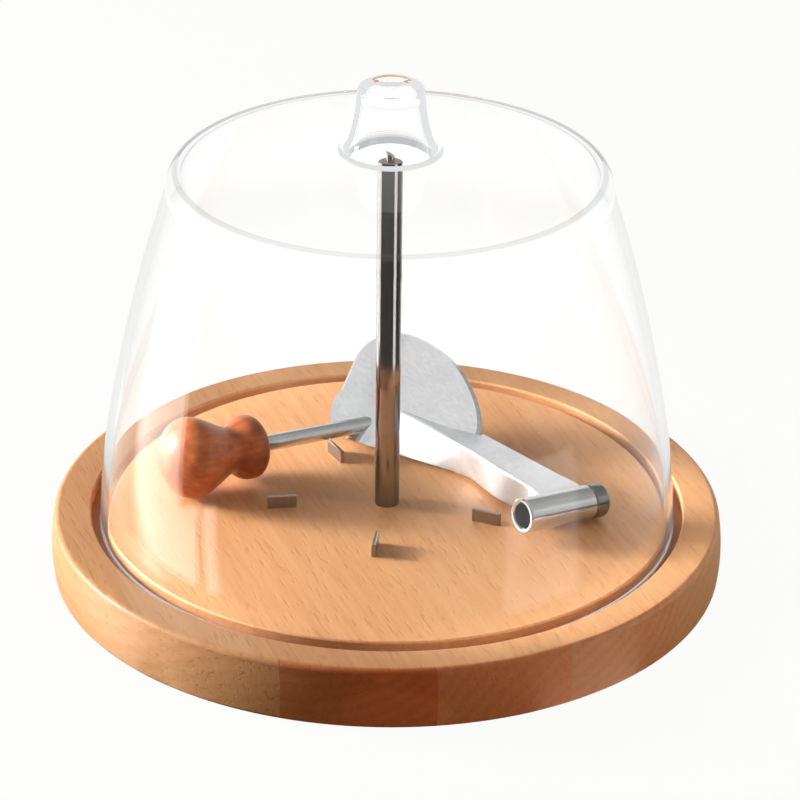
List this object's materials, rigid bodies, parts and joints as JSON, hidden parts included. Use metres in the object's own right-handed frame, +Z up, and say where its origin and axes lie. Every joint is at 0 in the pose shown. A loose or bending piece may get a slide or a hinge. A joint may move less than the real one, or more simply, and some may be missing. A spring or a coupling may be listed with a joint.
{
  "type": "cheese curler",
  "caption": "Cheese curler: round wooden board with a steel spindle and spikes, a loose hand cranked scraper with a turning wooden knob, and a clear domed cover",
  "frame": {"origin": "centre of the board's underside, on the table, below the spindle", "axes": "+Z runs up along the spindle; the scraper's handle knob lies toward -X and its hub tube toward +X; +Y is away from the viewer who has the knob on the left"},
  "size_m": [0.22, 0.22, 0.167],
  "materials": {
    "beech": "oiled",
    "clear_plastic": "polished",
    "steel": "polished",
    "blade_steel": "polished",
    "cast_arm": "satin",
    "knob_wood": "lacquered"
  },
  "bodies": {
    "base": {"base_stave_1": "beech", "base_stave_2": "beech", "base_stave_3": "beech", "base_stave_4": "beech", "base_stave_5": "beech", "spindle": "steel", "spindle_tip": "steel", "spindle_washer": "steel", "spindle_screw": "steel", "spike_1": "steel", "spike_2": "steel", "spike_3": "steel", "spike_4": "steel", "spike_5": "steel"},
    "dome": {"dome_shell": "clear_plastic", "dome_knob": "clear_plastic"},
    "scraper": {"hub_tube": "steel", "hub_bush": "steel", "scraper_arm": "cast_arm", "scraper_blade": "blade_steel", "blade_rivets": "steel", "handle_socket": "steel", "handle_rod": "steel", "rod_end_washer": "steel", "rod_end_screw": "steel"},
    "knob": {"handle_knob": "knob_wood", "knob_plug": "knob_wood"}
  },
  "joints": [
    {"name": "dome_lift", "type": "slide", "parent": "base", "child": "dome", "axis": [0, 0, 1], "range_m": [0, 0.16]},
    {"name": "scraper_lift", "type": "slide", "parent": "base", "child": "scraper", "axis": [0, 0, 1], "range_m": [0, 0.045]},
    {"name": "knob_spin", "type": "hinge", "parent": "scraper", "child": "knob", "pos_m": [-0.05369, 0.01011, 0.03338], "axis": [-0.8092, -0.5772, 0.1097], "continuous": true}
  ]
}
